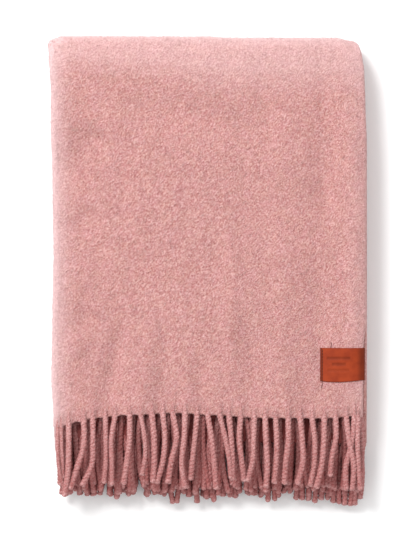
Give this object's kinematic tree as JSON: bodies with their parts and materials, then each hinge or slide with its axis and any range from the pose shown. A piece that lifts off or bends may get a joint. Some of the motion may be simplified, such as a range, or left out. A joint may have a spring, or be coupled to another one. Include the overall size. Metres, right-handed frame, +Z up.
{
  "type": "folded wool throw",
  "caption": "Brushed wool throw blanket folded into a flat rectangular stack, with twisted fringes at both ends and a plain leather label on one selvedge.",
  "frame": {"origin": "centre of the folded throw's underside", "axes": "+X to the right seen from the front face, +Y towards the top fold, away from the fringe, +Z up out of the front face"},
  "size_m": [0.3309, 0.4898, 0.0483],
  "materials": {
    "wool": "brushed wool, soft nap, matt",
    "wool_fringe": "twisted two-ply wool, slightly fuzzy, matt",
    "leather": "smooth cognac leather, satin"
  },
  "bodies": {
    "root": {"throw_cloth": "wool", "fringe_front": "wool_fringe", "fringe_back": "wool_fringe", "label": "leather"}
  },
  "joints": []
}
